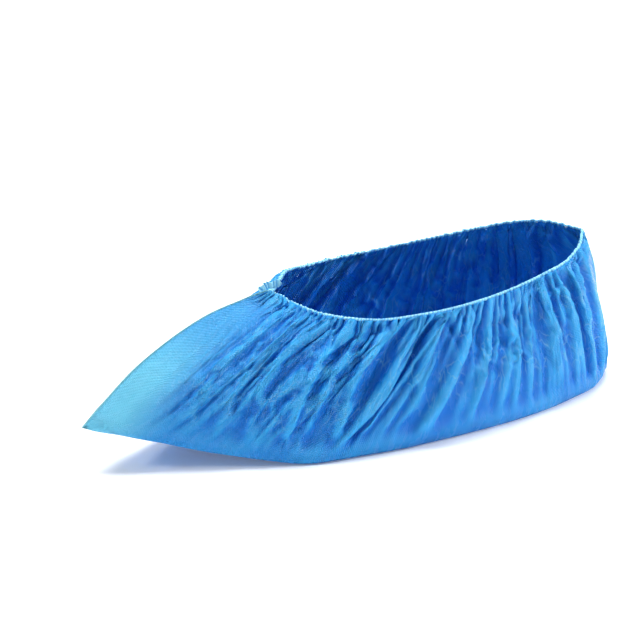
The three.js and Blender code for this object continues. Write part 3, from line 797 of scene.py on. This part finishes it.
def weld_fin(name, column, turn, stands_for):
    """A fin in the middle plane along the film's edge at a column, on the side that turn gives."""
    edge, run = even_run(settled[column, FINE_KEEL:], FIN_STEP)
    edge[:, 0] = 0
    way = np.gradient(edge, axis=0)
    out = np.stack([np.zeros(len(edge)), -turn * way[:, 2], turn * way[:, 1]], axis=1)
    out /= np.linalg.norm(out, axis=1, keepdims=True)
    across = np.array([-FIN_ROOT, 0, FIN_TALL / 2, FIN_TALL])
    points = edge[:, None] + out[:, None] * across[None, :, None]
    pattern = np.stack(np.broadcast_arrays(run[:, None], across[None, :]), axis=2)
    fin, _ = sheet_through(name, points, pattern)
    thickness = fin.modifiers.new("thickness", "SOLIDIFY")
    thickness.thickness, thickness.offset = FIN_THICK, 0
    fin.data.materials.append(weld_material)
    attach(fin, "root")
    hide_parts(stands_for)
    return fin


toe_fin = weld_fin("toe_fin", 0, 1, "toe_weld")
heel_fin = weld_fin("heel_fin", FINE_COLUMNS, -1, "heel_weld")


# ---------- the ruffled tabs ----------
# Where the hem's two ends meet at a weld, the elastic is caught in it, and its free end draws the
# spare film into a small stiff ruffle, fused as pale as the hem and made of the same film.
# The toe's ruffle stands up in the plane of the welds, and the heel's is folded over and hangs against
# the inner side. Each row has a point on one side of the ruffle and one on the side that its pleats
# deepen to, in millimetres with heights above the floor, and the pleats swing along the way given.
TOE_TAB = [
    ((0, -73.5, 80.6), (0, -75.5, 82.2)),
    ((0, -71, 81.3), (0, -73, 84.2)),
    ((0, -68.5, 81.6), (0, -69.8, 85.6)),
    ((0, -66, 81.4), (0, -66.6, 85)),
    ((0, -63.5, 81.4), (0, -63, 85.8)),
    ((0, -61.5, 81.8), (0, -61, 84)),
]
TOE_TAB_WAY = (1, 0, 0)
HEEL_TAB = [
    ((-10.6, 132.8, 72), (-4.9, 136.6, 72)),
    ((-10.8, 132, 73.5), (-4.1, 136.6, 73.5)),
    ((-10.5, 131.5, 75.3), (-3.3, 136.4, 75.3)),
    ((-9.4, 131.6, 77.1), (-3.2, 135.8, 77.1)),
    ((-8.2, 131.7, 79), (-2.9, 135.3, 79)),
    ((-6.6, 131.6, 80.8), (-2.9, 134.3, 80.8)),
    ((-4.6, 131.6, 82.4), (-2.6, 132.8, 82.4)),
]
HEEL_TAB_WAY = (-0.535, 0.787, 0.307)
TAB_THICK = 0.25 * MM
TAB_STEPS, TAB_ROWS = 90, 12
PLEAT_SWING, SHALLOW_SIDE = 0.8 * MM, 0.35
WAVE_DRIFT, SIDE_DRIFT, CURL, CREST_SHARE = 0.35, 0.25, 0.3, 0.6


def ruffle(name, table, way, pleats, seed, stands_for):
    """A tab of film through its table, thrown into pleats that deepen from one side to the other."""
    chance = np.random.default_rng(seed)
    run = np.linspace(0, 1, TAB_STEPS + 1)
    start, end = (smooth_path(np.array([row[k] for row in table], float) * MM, run) for k in (0, 1))
    out = np.linspace(0, 1, TAB_ROWS + 1)[None, :]
    points = start[:, None] + (end - start)[:, None] * out[:, :, None]
    points[:, :, 2] += FLOOR_HEIGHT
    wave = np.sin(2 * np.pi * (pleats * run + WAVE_DRIFT * drift(chance, len(run), 2 * pleats)))
    wave = wave + SIDE_DRIFT * drift(chance, len(run), 4 * pleats)
    swing = wave[:, None] * (SHALLOW_SIDE + (1 - SHALLOW_SIDE) * out) + CURL * np.sin(3 * out)
    points += swing[:, :, None] * PLEAT_SWING * np.array(way, float)
    size = np.ptp(points.reshape(-1, 3), axis=0).max()
    pattern = np.stack(np.broadcast_arrays(run[:, None] * size, out * size), axis=2)
    # Painted highlight and shade: the pleats are painted paler where they swing out along the way given, and
    # deeper blue where they swing back.
    ridge_highlight = np.clip(0.5 + CREST_SHARE * wave, 0, 1)[:, None] * np.ones(TAB_ROWS + 1)
    tab, _ = sheet_through(name, points, pattern, crest=ridge_highlight)
    thickness = tab.modifiers.new("thickness", "SOLIDIFY")
    thickness.thickness, thickness.offset = TAB_THICK, 0
    tab.data.materials.append(hem_material)
    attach(tab, "root")
    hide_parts(stands_for)
    return tab


toe_ruffle = ruffle("toe_ruffle", TOE_TAB, TOE_TAB_WAY, 6, 21, "toe_tab")
heel_ruffle = ruffle("heel_ruffle", HEEL_TAB, HEEL_TAB_WAY, 5, 22, "heel_tab")
